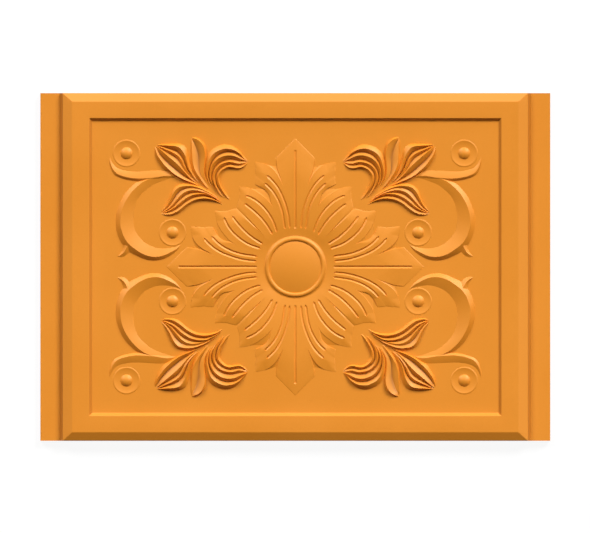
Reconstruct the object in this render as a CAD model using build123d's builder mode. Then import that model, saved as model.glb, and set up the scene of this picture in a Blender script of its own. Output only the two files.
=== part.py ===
from build123d import *
import math
import os

# A moulded decorative ceiling tile: one sheet with two side strips, a bevelled frame, a sunk field,
# and on the field a raised rosette, scrolls, discs and acanthus leaves, the same in all four corners.
# The back lies on the XY plane, the face looks along +Z, and the long side runs along X.

# The sheet
tile_length = 660.0
tile_width = 450.0
strip_thickness = 8.5
strip_width = 25.3
step_run = 4.8
step_rise = 6.6
bevel_run = 11.1
bevel_rise = 4.7
frame_width = 21.3
recess_run = 3.7
recess_depth = 3.5

# How far the raised forms reach down into the sheet below the field
relief_root = 0.4
disc_root = 1.5

# The rosette
petal_axis_reach = 166.5
high_petal_reach = 145.7
high_petal_turn = 21.4
low_petal_reach = 127.4
low_petal_turn = 35.2
petal_diagonal_reach = 110.0
crown_height = 2.1
crown_edge_height = 0.3
crown_summit_share = 0.5
pit_radius = 44.0
pit_depth = 1.3
pit_floor_drop = 2.0
pit_root = 1.5
dome_radius = 33.2
dome_rise = 3.0
bead_radius = 37.1
bead_half_width = 3.7
bead_rise = 1.7

# The discs with a pearl
disc_radius = 17.0
disc_rim_width = 1.6
disc_rim_rise = 0.4
disc_rim_slope_run = 2.8
disc_dish_depth = 0.5
pearl_radius = 7.8
pearl_rise = 2.0
corner_disc = (219.0, 147.0)
scroll_disc = (159.0, 44.5)

# The angles that round the bead's section
bead_angles = (0, 40, 75, 105, 140, 180)

# Heights over the field
scroll_height = 4.8
tail_height = 2.5
spur_height = 2.6
curled_lobe_height = 3.4
upright_lobe_height = 3.2
outer_lobe_height = 3.1
lower_lobe_height = 2.4

step_length = tile_length - 2 * strip_width
face_length = step_length - 2 * step_run
frame_outer_length = face_length - 2 * bevel_run
frame_outer_width = tile_width - 2 * bevel_run
frame_inner_length = frame_outer_length - 2 * frame_width
frame_inner_width = frame_outer_width - 2 * frame_width
field_length = frame_inner_length - 2 * recess_run
field_width = frame_inner_width - 2 * recess_run
step_top = strip_thickness + step_rise
frame_top = step_top + bevel_rise
field_level = frame_top - recess_depth
pit_floor = field_level - pit_depth - pit_floor_drop


def upright_plane(start, end):
    """The upright plane over the line from start to end, with its origin at start on the field."""
    origin = Vector(start[0], start[1], field_level)
    across = Vector(end[0] - start[0], end[1] - start[1], 0).normalized()
    return Plane(origin=origin, x_dir=across, z_dir=across.cross(Vector(0, 0, 1)))


def ridge(stations, height):
    """A ridge along a crest: each station gives the crest, the foot on either side and its share of height."""
    with BuildLine():
        crest = Spline(*[station[0] for station in stations])
    with BuildPart() as body:
        for point, inner_foot, outer_foot, share in stations:
            along = crest.tangent_at(crest.param_at_point(point))
            across = Vector(-along.Y, along.X, 0)
            rise = height * share
            spread = 1 + relief_root / rise
            origin = Vector(point[0], point[1], field_level)
            with BuildSketch(Plane(origin=origin, x_dir=across, z_dir=along)):
                with BuildLine():
                    Polyline(
                        (-inner_foot * spread, -relief_root),
                        (0, rise),
                        (outer_foot * spread, -relief_root),
                        close=True,
                    )
                make_face()
        loft()
    return body.part


def lobe(stations, ribs, tip_places, root_places, height, valley_share):
    """A fluted leaf lobe: stations cross it from edge to edge, and ribs run along it at shares of the width."""
    with BuildPart() as body:
        for number, (start, end, share) in enumerate(stations):
            width = math.dist(start, end)
            blend = number / (len(stations) - 1)
            places = [tip + (root - tip) * blend for tip, root in zip(tip_places, root_places)]
            tops = [height * share * rib for rib in ribs]
            outline = []
            for index, (place, top) in enumerate(zip(places, tops)):
                if index > 0:
                    middle = (places[index - 1] + place) / 2 * width
                    outline.append((middle, min(tops[index - 1], top) * valley_share))
                outline.append((place * width, top))
            first_foot = (outline[0][0] * -relief_root / tops[0], -relief_root)
            last_foot = (width + (width - outline[-1][0]) * relief_root / tops[-1], -relief_root)
            with BuildSketch(upright_plane(start, end)):
                with BuildLine():
                    Polyline(first_foot, *outline, last_foot, close=True)
                make_face()
        loft(ruled=True)
    return body.part


def crown():
    """An eighth of the rosette's crown, from the upright axis to the diagonal, arched from the pit to the tips."""
    base = -pit_depth - pit_floor_drop - pit_root
    tips = [
        (0, petal_axis_reach),
        (high_petal_turn, high_petal_reach),
        (low_petal_turn, low_petal_reach),
        (45, petal_diagonal_reach),
    ]
    with BuildPart() as body:
        for turn, reach in tips:
            summit = pit_radius + (reach - pit_radius) * crown_summit_share
            outward = (math.sin(math.radians(turn)), math.cos(math.radians(turn)))
            with BuildSketch(upright_plane((0, 0), outward)):
                with BuildLine():
                    top = ThreePointArc(
                        (pit_radius, -pit_depth),
                        (summit, crown_height),
                        (reach, crown_edge_height),
                    )
                    Polyline(top @ 1, (reach, base), (pit_radius, base), top @ 0)
                make_face()
        loft(ruled=True)
    return body.part


# The sheet with its strips, step, bevel and sunk field, hollowed where the rosette's heart and the discs lie
with BuildPart() as sheet:
    with BuildSketch():
        Rectangle(tile_length, tile_width)
    extrude(amount=strip_thickness)
    with BuildSketch(Plane.XY.offset(strip_thickness)):
        Rectangle(step_length, tile_width)
    with BuildSketch(Plane.XY.offset(step_top)):
        Rectangle(face_length, tile_width)
    loft()
    with BuildSketch(Plane.XY.offset(step_top)):
        Rectangle(face_length, tile_width)
    with BuildSketch(Plane.XY.offset(frame_top)):
        Rectangle(frame_outer_length, frame_outer_width)
    loft()
    with BuildSketch(Plane.XY.offset(field_level)):
        Rectangle(field_length, field_width)
    with BuildSketch(Plane.XY.offset(frame_top)):
        Rectangle(frame_inner_length, frame_inner_width)
    loft(mode=Mode.SUBTRACT)
    with BuildSketch(Plane.XY.offset(pit_floor)):
        Circle(pit_radius * 1.5)
    extrude(amount=pit_depth + pit_floor_drop, mode=Mode.SUBTRACT)
    with BuildSketch(Plane.XY.offset(field_level)):
        with Locations(corner_disc, scroll_disc):
            Circle(disc_radius)
        mirror(about=Plane.YZ)
        mirror(about=Plane.XZ)
    extrude(amount=-disc_root, mode=Mode.SUBTRACT)

# One eighth of the rosette's petals: half the spear petal on the axis and two curved petals beside it
eighth_crown = crown()
with BuildPart() as petals:
    add(eighth_crown)
    with BuildSketch(Plane.XY.offset(pit_floor - pit_root)):
        with BuildLine():
            Polyline((0, 0), (0, petal_axis_reach), (25, 141.5))
            ThreePointArc((25, 141.5), (22.5, 125.5), (18.5, 114))
            Line((18.5, 114), (20, 113.5))
            Spline((20, 113.5), (28, 125.5), (37.5, 132.5), (53, 135.5))
            ThreePointArc((53, 135.5), (51, 119), (52.5, 107))
            Spline((52.5, 107), (38, 99), (30.5, 89.5), (31.5, 83.5))
            Line((31.5, 83.5), (33, 83))
            Spline((33, 83), (45.5, 94.5), (58.5, 101.5), (73.5, 104))
            ThreePointArc((73.5, 104), (72, 90.5), (75.5, 78.5))
            Polyline((75.5, 78.5), (48, 48), (0, 0))
        make_face()
    extrude(amount=frame_top, mode=Mode.INTERSECT)

with BuildPart() as rosette:
    add(petals.part)
    mirror(about=Plane((0, 0, 0), x_dir=(1, 1, 0), z_dir=(1, -1, 0)))
    mirror(about=Plane.YZ)
    mirror(about=Plane.XZ)

# The domed heart with a bead round it, in the pit of the rosette
pit_level = field_level - pit_depth
bead_outline = []
for angle in bead_angles:
    bead_spot = bead_radius - bead_half_width * math.cos(math.radians(angle))
    bead_outline.append((bead_spot, pit_level + bead_rise * math.sin(math.radians(angle))))
with BuildPart() as heart:
    with BuildSketch(Plane.XZ):
        with BuildLine():
            dome = TangentArc((0, pit_level + dome_rise), (dome_radius, pit_level), tangent=(1, 0))
            Polyline(
                dome @ 1,
                *bead_outline,
                (pit_radius + 2, pit_level),
                (pit_radius + 2, pit_floor - pit_root),
                (0, pit_floor - pit_root),
                dome @ 0,
            )
        make_face()
    revolve(axis=Axis.Z)

# A dished disc with a raised rim and a pearl in its middle
disc_crest = disc_radius - disc_rim_width / 2
with BuildPart() as disc:
    with BuildSketch(Plane.XZ):
        with BuildLine():
            pearl = TangentArc((0, pearl_rise), (pearl_radius, -disc_dish_depth), tangent=(1, 0))
            Polyline(
                pearl @ 1,
                (disc_crest - disc_rim_slope_run, -disc_dish_depth),
                (disc_crest, disc_rim_rise),
                (disc_radius + disc_rim_width, 0),
                (disc_radius + disc_rim_width, -2 * disc_root),
                (0, -2 * disc_root),
                pearl @ 0,
            )
        make_face()
    revolve(axis=Axis.Z)

# The scroll: a broad inner slope and a steep outer one on either side of a crest that curls in to a tip
scroll = ridge(
    [
        ((154, 115.5), 2, 2, 0.2),
        ((169.5, 117), 6.5, 3, 0.4),
        ((187, 114.5), 11, 3.5, 0.58),
        ((204.5, 104), 15, 6, 0.85),
        ((216.5, 90.5), 16.5, 6.5, 0.95),
        ((224.5, 72.5), 17.5, 6.5, 1),
        ((226.5, 55.5), 18, 6.5, 1),
        ((221.5, 39), 18, 7, 0.98),
        ((210, 25), 16.5, 7.5, 0.9),
        ((193, 15), 14.5, 6, 0.77),
        ((178.5, 13), 12, 5.5, 0.7),
        ((163, 18), 7.5, 5, 0.5),
        ((147, 30.5), 1, 1, 0.1),
    ],
    scroll_height,
)

# The tail that leaves the scroll and hooks round the corner disc
tail = ridge(
    [
        ((157, 117), 3.5, 5, 0.6),
        ((170, 117.5), 4, 8.5, 0.85),
        ((188, 115.5), 4, 10.2, 1),
        ((204.5, 114.5), 4, 10.2, 1),
        ((220, 117), 4, 9, 0.95),
        ((232, 121.5), 3.6, 7, 0.8),
        ((238, 132), 2.4, 3, 0.5),
        ((239.5, 143), 1.2, 1.2, 0.2),
    ],
    tail_height,
)

# The spur on the scroll's outer side
spur = ridge(
    [
        ((212.5, 32), 5, 5, 1),
        ((217.5, 26.5), 4.5, 4.5, 1),
        ((221, 20.5), 3.5, 3.5, 0.7),
        ((225.5, 16), 2.4, 2.4, 0.45),
        ((230.5, 13), 0.6, 0.6, 0.1),
    ],
    spur_height,
)

# The lobe that curls back towards the rosette
curled_lobe = lobe(
    [
        ((62.5, 133), (62.5, 139.5), 0.25),
        ((67.5, 129), (68, 147), 0.7),
        ((75, 126), (75, 154), 0.95),
        ((85, 127.5), (89.5, 159.5), 1),
        ((92, 125), (105, 155.5), 1),
        ((96.5, 119), (114.5, 142.5), 1),
        ((97, 112.5), (118, 125.5), 0.95),
        ((95, 105), (116, 114), 0.8),
        ((86.5, 92), (103, 95), 0.62),
        ((82.5, 87), (98, 88.5), 0.55),
    ],
    (0.55, 0.55, 0.93, 1),
    (0.12, 0.3, 0.57, 0.81),
    (0.18, 0.5, 0.7, 0.87),
    curled_lobe_height,
    0.25,
)

# The lobe that stands up between the two side lobes
upright_lobe = lobe(
    [
        ((133.2, 168.8), (134.6, 168.4), 0.1),
        ((126.5, 167.5), (135.5, 163), 0.7),
        ((118.5, 161), (136, 156.5), 0.95),
        ((115.5, 151.5), (136, 149), 1),
        ((116, 133.5), (134.5, 132), 1),
        ((116.5, 124.5), (132, 123.5), 0.9),
        ((115, 116.5), (129, 116.5), 0.75),
        ((111.5, 109.5), (123.5, 110), 0.6),
        ((105, 101), (114, 101), 0.3),
    ],
    (1, 0.87),
    (0.16, 0.85),
    (0.22, 0.75),
    upright_lobe_height,
    0.2,
)

# The lobe that spreads outwards under the frame
outer_lobe = lobe(
    [
        ((178.5, 159), (182, 154), 0.25),
        ((172, 160), (181, 147.5), 0.6),
        ((162, 160.5), (177, 136.5), 0.9),
        ((151.5, 160.5), (169.5, 126.5), 1),
        ((143.5, 157.5), (160.5, 120.5), 1),
        ((139.5, 151), (152, 116.5), 0.9),
        ((134.5, 129.5), (138.5, 111), 0.6),
        ((130, 120.5), (131, 108), 0.5),
        ((121.5, 112), (122.5, 104), 0.45),
    ],
    (0.9, 0.65, 1, 0.75),
    (0.1, 0.34, 0.56, 0.88),
    (0.3, 0.5, 0.7, 0.92),
    outer_lobe_height,
    0.35,
)

# The lobe that droops towards the scroll's disc
lower_lobe = lobe(
    [
        ((173, 72.5), (173, 70.5), 0.1),
        ((170.5, 77.5), (168.5, 67.5), 0.5),
        ((165, 86), (158, 67), 0.8),
        ((162, 94), (149, 70.5), 0.95),
        ((157.5, 102.5), (140.5, 77.5), 1),
        ((149, 108), (132, 83.5), 1),
        ((138.5, 109), (123, 86), 0.95),
        ((128, 106.5), (114, 86.5), 0.85),
        ((112.5, 102.5), (97, 82), 0.7),
        ((97, 90), (91.5, 79.5), 0.3),
    ],
    (0.95, 0.75, 0.9, 0.9),
    (0.13, 0.4, 0.64, 0.87),
    (0.13, 0.37, 0.6, 0.86),
    lower_lobe_height,
    0.25,
)

# All relief of one corner, then of the other three
with BuildPart() as corner:
    add(scroll)
    add(tail)
    add(spur)
    add(lower_lobe)
    add(outer_lobe)
    add(upright_lobe)
    add(curled_lobe)
    with Locations((*corner_disc, field_level), (*scroll_disc, field_level)):
        add(disc.part)
    mirror(about=Plane.YZ)
    mirror(about=Plane.XZ)

with BuildPart() as ceiling_tile:
    add(sheet.part)
    add(heart.part)
    add(rosette.part)
    add(corner.part)

ceiling_tile.part.label = "ceiling_tile"
os.makedirs("parts", exist_ok=True)
export_step(ceiling_tile.part, "parts/ceiling_tile.step")
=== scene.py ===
import math

import bpy
import numpy as np
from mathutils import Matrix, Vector


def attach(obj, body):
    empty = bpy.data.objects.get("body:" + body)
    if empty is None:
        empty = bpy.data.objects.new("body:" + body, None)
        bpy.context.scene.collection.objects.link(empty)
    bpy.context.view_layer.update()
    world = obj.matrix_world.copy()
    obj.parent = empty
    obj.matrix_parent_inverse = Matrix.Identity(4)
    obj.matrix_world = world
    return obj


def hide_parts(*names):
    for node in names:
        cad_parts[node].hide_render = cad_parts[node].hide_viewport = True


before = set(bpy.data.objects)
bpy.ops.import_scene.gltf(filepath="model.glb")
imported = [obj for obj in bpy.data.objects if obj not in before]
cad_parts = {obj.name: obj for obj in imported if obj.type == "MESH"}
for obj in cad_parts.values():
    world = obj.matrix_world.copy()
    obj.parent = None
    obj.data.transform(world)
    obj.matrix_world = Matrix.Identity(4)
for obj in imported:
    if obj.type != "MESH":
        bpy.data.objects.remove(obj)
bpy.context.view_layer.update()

# Everything below is worked out in millimetres over the back of the tile, and becomes metres in the mesh.
METRES = 0.001
# The carved lines are written in steps of the drawing they were laid out on, this many millimetres each.
STEP = 1.295
# Keeps a length that is divided by away from nought.
TINY = 1e-9

# The tile, and the levels of its faces over the back
TILE_LENGTH, TILE_WIDTH = 660.0, 450.0
STRIP_TOP, STEP_TOP, FRAME_TOP, FIELD = 8.5, 15.1, 19.8, 16.3

# The sheet's edges at the two sides, as distances from the middle
STEP_FOOT, BEVEL_FOOT, FRAME_END, SIDE_RECESS, SIDE_FIELD = 304.9, 301.0, 288.8, 266.7, 263.2
# The widths of bevel, frame and recess wall along the other two sides
BEVEL_RUN, FRAME_WIDTH, RECESS_RUN = 11.1, 21.3, 3.7
# How dark the painted shade is on the side steps and on the recess's side walls
STEP_PAINTED_SHADE, RECESS_PAINTED_SHADE = 0.52, 0.36
# How far to either side of an edge its rounding and its tone run, and the places of the grid's lines there
EDGE_ROUND, EDGE_SOFT = 0.45, 0.3
EDGE_LINES = np.array([-0.6, -0.3, 0, 0.3, 0.6])
# The sheet's outermost edge: distances from it, and how far the face droops there
RIM_LINES, RIM_DROOPS = np.array([0, 0.25, 0.6]), [0.4, 0.12, 0]

# The discs' centres in one corner, and the pit round the rosette's heart
CORNER_DISC, SCROLL_DISC = (218.5, 147.0), (159.0, 44.5)
PIT_RADIUS, PIT_DEPTH = 44.0, 1.3
# Round places where the field is lowered out of sight: the radius, how far out the grid is moved for it, the
# drop, and the width of the slope down to it
DISC_HOLE, DISC_REACH, DISC_DROP, DISC_SLOPE = 17.2, 24.0, 2.4, 0.9
PIT_HOLE, PIT_REACH, PIT_DROP, PIT_SLOPE = 76.0, 92.0, 4.5, 6.0


# Curves and closed surfaces

def cubic(knots, values, at):
    """The natural cubic through values at knots, read at the places in at: each span is the chord plus the
    two bending terms, whose second derivatives come from one set of linear equations."""
    knots, values = np.asarray(knots, float), np.asarray(values, float)
    gaps = np.diff(knots)
    count = len(knots)
    equations = np.eye(count)
    inner = np.arange(1, count - 1)
    equations[inner, inner - 1] = gaps[:-1]
    equations[inner, inner] = 2 * (gaps[:-1] + gaps[1:])
    equations[inner, inner + 1] = gaps[1:]
    slopes = np.diff(values, axis=0) / gaps.reshape((-1,) + (1,) * (values.ndim - 1))
    right = np.zeros_like(values)
    right[1:-1] = 6 * np.diff(slopes, axis=0)
    bend = np.linalg.solve(equations, right)
    span = np.clip(np.searchsorted(knots, at, side="right") - 1, 0, count - 2)
    gap = gaps[span]
    ahead = (np.asarray(at) - knots[span]) / gap
    back = 1 - ahead
    if values.ndim > 1:
        gap, ahead, back = gap[:, None], ahead[:, None], back[:, None]
    bent = (back**3 - back) * bend[span] + (ahead**3 - ahead) * bend[span + 1]
    return back * values[span] + ahead * values[span + 1] + bent * gap**2 / 6


def course(points, shares, unit=STEP):
    """A smooth line through the points, read at shares of its length: the cubic over the chords' lengths is
    measured in short pieces, and the places are read off along them."""
    pieces_per_point = 40
    points = np.asarray(points, float) * unit
    chord = np.concatenate([[0], np.cumsum(np.hypot(*np.diff(points, axis=0).T))])
    fine = cubic(chord, points, np.linspace(0, chord[-1], pieces_per_point * len(points)))
    length = np.concatenate([[0], np.cumsum(np.hypot(*np.diff(fine, axis=0).T))])
    at = shares * length[-1]
    return np.stack([np.interp(at, length, fine[:, 0]), np.interp(at, length, fine[:, 1])], axis=1)


def distance(spots, others):
    """The distance of each spot from its partner, seen from above."""
    return np.hypot(*np.moveaxis(spots - others, -1, 0))


def grid_quads(rows, columns, wrap=False):
    """The four corners of every cell of a grid of rows by columns vertices, row after row."""
    numbers = np.arange(rows * columns).reshape(rows, columns)
    if wrap:
        numbers = np.concatenate([numbers, numbers[:, :1]], axis=1)
    corners = [numbers[:-1, :-1], numbers[:-1, 1:], numbers[1:, 1:], numbers[1:, :-1]]
    return np.stack([corner.ravel() for corner in corners], axis=1)


def closed_patch(top, under, turned=None):
    """A closed shell under a grid of points: the grid itself, a wall along its four sides down to the
    height under, and a flat underside of cells that reach across from side to side. The winding follows the
    sign of the area seen from above. Where turned is given, every cell is cut into two triangles, and those
    marked in it along their other diagonal."""
    rows, columns = top.shape[:2]
    upper = grid_quads(rows, columns)
    if turned is not None:
        upper = np.where(turned.ravel()[:, None], np.roll(upper, 1, axis=1), upper)
    size = rows * columns
    numbers = np.arange(size).reshape(rows, columns)
    rim = np.concatenate([numbers[0, :-1], numbers[:-1, -1], numbers[-1, :0:-1], numbers[:0:-1, 0]])
    lower = size + np.arange(len(rim))
    top = top.reshape(-1, top.shape[2])
    bottom = top[rim]
    bottom[:, 2] = under
    points = np.concatenate([top, bottom])
    wall = np.stack([np.roll(rim, -1), rim, lower, np.roll(lower, -1)], axis=1)
    ring = np.roll(lower, -(columns // 2))
    one_side, other_side = ring[:len(ring) // 2], ring[:len(ring) // 2 - 1:-1]
    underside = np.stack([other_side[:-1], other_side[1:], one_side[1:], one_side[:-1]], axis=1)
    quads = np.concatenate([upper, underside, wall])
    a, b, c, d = (top[upper[:, k], :2] for k in range(4))
    area = np.sum((c - a)[:, 0] * (d - b)[:, 1] - (c - a)[:, 1] * (d - b)[:, 0])
    faces = quads if area > 0 else quads[:, ::-1]
    if turned is not None:
        faces = np.concatenate([faces[:, [0, 1, 2]], faces[:, [0, 2, 3]]])
    return points, faces


def closed_ring(top, under):
    """A closed shell under a grid that runs all the way round: the grid, a wall at its inner and its outer
    row down to the height under, and a flat underside between the two walls."""
    rows, columns = top.shape[:2]
    upper = grid_quads(rows, columns, wrap=True)
    inner = np.arange(columns)
    outer = inner + (rows - 1) * columns
    low_inner = inner + rows * columns
    low_outer = low_inner + columns
    bottom = top[[0, -1]].reshape(-1, 3)
    bottom[:, 2] = under

    def band(one, other):
        return np.stack([one, np.roll(one, -1), np.roll(other, -1), other], axis=1)

    walls = [band(low_inner, inner), band(outer, low_outer)]
    quads = np.concatenate([upper, *walls, band(low_outer, low_inner)])
    points = np.concatenate([top.reshape(-1, 3), bottom])
    spread = (top[-1] - top[0])[:, :2]
    onward = (np.roll(top[0], -1, axis=0) - top[0])[:, :2]
    area = np.sum(onward[:, 0] * spread[:, 1] - onward[:, 1] * spread[:, 0])
    return points, quads if area > 0 else quads[:, ::-1]


def mirrored(shell, flip_x, flip_y):
    """The shell seen in a mirror across either axis, wound the other way round where one mirror is used."""
    points, faces = shell
    points = points.copy()
    points[:, :2] *= [-1.0 if flip_x else 1.0, -1.0 if flip_y else 1.0]
    return points, faces[:, ::-1] if flip_x != flip_y else faces


def four_corners(shells):
    """The shells of one corner, and their mirror images in the other three."""
    turns = [(False, False), (True, False), (False, True), (True, True)]
    return [mirrored(shell, *turn) for turn in turns for shell in shells]


def tile_piece(name, shells, material, crease):
    """One mesh of the shells, in metres, riding on the tile's only body and standing for its node. Edges
    that bend by more than crease degrees stay sharp. A fourth value of the points, where they have one,
    becomes the mesh's painted_shade attribute, which darkens the colour as painted shade."""
    starts = np.cumsum([0] + [len(points) for points, _ in shells[:-1]])
    points = np.concatenate([points for points, _ in shells])
    faces = np.concatenate([faces + start for (_, faces), start in zip(shells, starts)])
    mesh = bpy.data.meshes.new(name)
    mesh.vertices.add(len(points))
    mesh.vertices.foreach_set("co", (points[:, :3] * METRES).ravel())
    mesh.loops.add(faces.size)
    mesh.loops.foreach_set("vertex_index", faces.ravel())
    mesh.polygons.add(len(faces))
    mesh.polygons.foreach_set("loop_start", np.arange(0, faces.size, faces.shape[1]))
    mesh.polygons.foreach_set("use_smooth", np.ones(len(faces), bool))
    mesh.update(calc_edges=True)
    mesh.validate()
    # Painted shade: the fourth values become an attribute that darkens the colour where shade falls
    if points.shape[1] > 3:
        mesh.attributes.new("painted_shade", "FLOAT", "POINT").data.foreach_set("value", points[:, 3])
    mesh.set_sharp_from_angle(angle=math.radians(crease))
    mesh.materials.append(material)
    piece = bpy.data.objects.new(name, mesh)
    bpy.context.scene.collection.objects.link(piece)
    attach(piece, "root")
    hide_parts("ceiling_tile")


# The sheet

def rounded(places, corners, heights):
    """A broken line through the corners, averaged over a short window so that its corners are rounded."""
    samples = 9
    window = np.linspace(-EDGE_ROUND, EDGE_ROUND, samples)
    return np.mean(np.interp(places[:, None] + window, corners, heights), axis=1)


def painted_shade_band(places, low, high):
    """One between low and high, and nought outside, with a short ramp across either edge."""
    edges = [low - EDGE_SOFT, low + EDGE_SOFT, high - EDGE_SOFT, high + EDGE_SOFT]
    return np.interp(places, edges, [0, 1, 1, 0])


def sheet_lines(half, edges, discs):
    """The places of the grid's lines along one axis, the same on both sides of the middle: a few beside
    every edge, and some round the discs and the pit."""
    ring = np.array([0, 5, 10, 14, 16.3, DISC_HOLE, 20, DISC_REACH])
    around = np.concatenate([-ring[:0:-1], ring])
    pit = np.array([0, 20, 40, 56, 70, PIT_HOLE, 84, PIT_REACH])
    beside_edges = [edge + EDGE_LINES for edge in edges]
    lines = np.concatenate([*beside_edges, half - RIM_LINES, *[disc + around for disc in discs], pit])
    return np.unique(np.round(np.concatenate([lines, -lines]), 4))


def round_block(x, y, centre, hole, reach):
    """Moves grid points near a centre so that square rings of cells up to hole become circles, easing back
    to the plain grid at reach. The last of the three results is the size of the ring that a point lies
    on."""
    across, up = x - centre[0], y - centre[1]
    ring_size = np.maximum(np.abs(across), np.abs(up))
    from_centre = np.maximum(np.hypot(across, up), TINY)
    ease = np.clip((reach - ring_size) / (reach - hole), 0, 1)
    factor = 1 + (ring_size / from_centre - 1) * ease
    return centre[0] + across * factor, centre[1] + up * factor, ring_size


def sheet_shell():
    """The sheet as heights over a grid: the lower of two edge profiles, one across and one along the tile,
    gives strips, steps, bevels and frame with mitred corners, and the higher of two recess profiles gives
    the sunk field. Under the discs and the rosette's heart the field is lowered out of sight. The painted
    shade value is one level along the side steps and another along the recess's side walls, where it
    darkens the colour as painted shade."""
    half_length, half_width = TILE_LENGTH / 2, TILE_WIDTH / 2
    frame_y = half_width - BEVEL_RUN
    recess_y = frame_y - FRAME_WIDTH
    field_y = recess_y - RECESS_RUN
    disc_x, disc_y = zip(CORNER_DISC, SCROLL_DISC)
    lines_x = sheet_lines(half_length, [STEP_FOOT, BEVEL_FOOT, FRAME_END, SIDE_RECESS, SIDE_FIELD], disc_x)
    lines_y = sheet_lines(half_width, [frame_y, recess_y, field_y], disc_y)
    x, y = np.meshgrid(lines_x, lines_y)
    far_x, far_y = np.abs(lines_x), np.abs(lines_y)
    outer_x = rounded(far_x, [FRAME_END, BEVEL_FOOT, STEP_FOOT], [FRAME_TOP, STEP_TOP, STRIP_TOP])
    bevel_past_edge = 2 * STEP_TOP - FRAME_TOP
    outer_y = rounded(far_y, [frame_y, half_width + BEVEL_RUN], [FRAME_TOP, bevel_past_edge])
    outer_x = outer_x - np.interp(half_length - far_x, RIM_LINES, RIM_DROOPS)
    outer_y = outer_y - np.interp(half_width - far_y, RIM_LINES, RIM_DROOPS)
    inner_x = rounded(far_x, [SIDE_FIELD, SIDE_RECESS], [FIELD, FRAME_TOP])
    inner_y = rounded(far_y, [field_y, recess_y], [FIELD, FRAME_TOP])
    height = np.maximum(inner_x[None, :], inner_y[:, None])
    height = np.minimum(height, np.minimum(outer_x[None, :], outer_y[:, None]))
    for side_x in (-1, 1):
        for side_y in (-1, 1):
            for disc in (CORNER_DISC, SCROLL_DISC):
                centre = (side_x * disc[0], side_y * disc[1])
                x, y, ring_size = round_block(x, y, centre, DISC_HOLE, DISC_REACH)
                height = height - DISC_DROP * np.clip((DISC_HOLE - ring_size) / DISC_SLOPE, 0, 1)
    x, y, ring_size = round_block(x, y, (0.0, 0.0), PIT_HOLE, PIT_REACH)
    height = height - PIT_DROP * np.clip((PIT_HOLE - ring_size) / PIT_SLOPE, 0, 1)
    # Painted shade on the side steps and on the recess's side walls: darker colour in bands where shade falls
    step_painted_shade = STEP_PAINTED_SHADE * painted_shade_band(far_x, BEVEL_FOOT, STEP_FOOT)
    side_painted_shade = RECESS_PAINTED_SHADE * painted_shade_band(far_x, SIDE_FIELD, SIDE_RECESS)
    inside = np.clip((recess_y - far_y) / RECESS_RUN, 0, 1)
    painted_shade = step_painted_shade[None, :] + side_painted_shade[None, :] * inside[:, None]
    middle_x, middle_y = (lines_x[1:] + lines_x[:-1]) / 2, (lines_y[1:] + lines_y[:-1]) / 2
    falling = middle_y[:, None] * middle_x[None, :] < 0
    return closed_patch(np.stack([x, y, height, painted_shade], axis=2), 0.0, falling)


# The rosette

# The crown's heights over the field, at shares of the way from the pit to the petals' ends
CROWN_SHARES = np.linspace(-0.1, 1.1, 241)
CROWN_HEIGHTS = cubic(
    [-0.1, -0.03, 0.05, 0.14, 0.25, 0.4, 0.55, 0.7, 0.85, 1.1],
    [-2.2, -1.6, -0.6, 0.35, 1.2, 1.95, 2.3, 2.45, 2.5, 2.5],
    CROWN_SHARES,
)
# How far the petals reach, and over what length they tilt down to their ends, by the turn from the nearest
# axis in degrees
REACH_TURNS, REACHES = [0, 21.4, 35.2, 45], [166.5, 145.7, 127.4, 110.0]
TILT_TURNS, TILT_LENGTHS = [0, 8, 16, 30, 45], [44, 40, 26, 21, 20]
TILT_POWER = 1.4
# On the near side of a gap a spot counts as this much further from its edge, and its distance at this pace
NEAR_TILT_START, NEAR_TILT_PACE = 6.0, 1.5
# A gap is fully open after this share of its run
OPENING_SHARE = 0.7

# A groove's half width and depth, the shares of its line over which its bottom runs out and its sides draw
# together, and the share of its width that they keep
GROOVE_HALF, GROOVE_DEPTH, GROOVE_RUN_OUT, GROOVE_CLOSING, GROOVE_LEAST = 1.9, 1.25, 0.012, 0.03, 0.25
# The spear's groove has one side, which draws in near the tip at this pace and keeps this share of its width
SPEAR_CLOSING_PACE, SPEAR_LEAST = 12, 0.1
# A gap's lip, which takes at most this share of its width, its drop, and the share over which it drops
GAP_LIP, GAP_LIP_SHARE, GAP_DROP, GAP_RUN_IN = 1.5, 0.4, 0.34, 0.02
DIAGONAL_DEPTH, DIAGONAL_RUN_IN = 0.7, 0.2
# The thin bevel along the petals' ends, and how far it starts below the field
END_RUN, END_HEIGHT, END_SINK = 1.3, 0.2, 0.04
ROSETTE_UNDER = FIELD - 6.0

# The grid: rows along the petals, closer together near their ends, and cells between neighbouring lines
PETAL_ROWS, END_ROWS, END_START = 110, 14, 0.95
PETAL_SHARES = np.concatenate([
    np.linspace(0, END_START, PETAL_ROWS),
    np.linspace(END_START, 1, END_ROWS + 1)[1:],
])
PETAL_CELLS = 3
NO_DEPTH = np.zeros(len(PETAL_SHARES))
# A share that no petal line reaches, for what runs on to the end
PAST_END = 2.0


def turn_from_axis(plan):
    """The turn of each spot from the nearest axis, in degrees."""
    across = np.sort(np.abs(plan), axis=2)
    return np.degrees(np.arctan2(across[..., 0], across[..., 1]))


def crown(plan, tilt):
    """The rosette's height over the field: below it at the pit, rising by the share of the way out, and
    tilted down to the petals' edges by 1 - (1 - t)^TILT_POWER, where t is the share of the tilt's length
    that a spot lies from the edge."""
    reach = np.interp(turn_from_axis(plan), REACH_TURNS, REACHES)
    share = (np.hypot(plan[..., 0], plan[..., 1]) - PIT_RADIUS) / (reach - PIT_RADIUS)
    height = np.interp(share, CROWN_SHARES, CROWN_HEIGHTS)
    return np.where(height > 0, height * (1 - (1 - np.clip(tilt, 0, 1)) ** TILT_POWER), height)


def petal_line(*points):
    """A smooth line from the pit to the petals' ends, through points in millimetres."""
    return course(points, PETAL_SHARES, 1.0)


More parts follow.
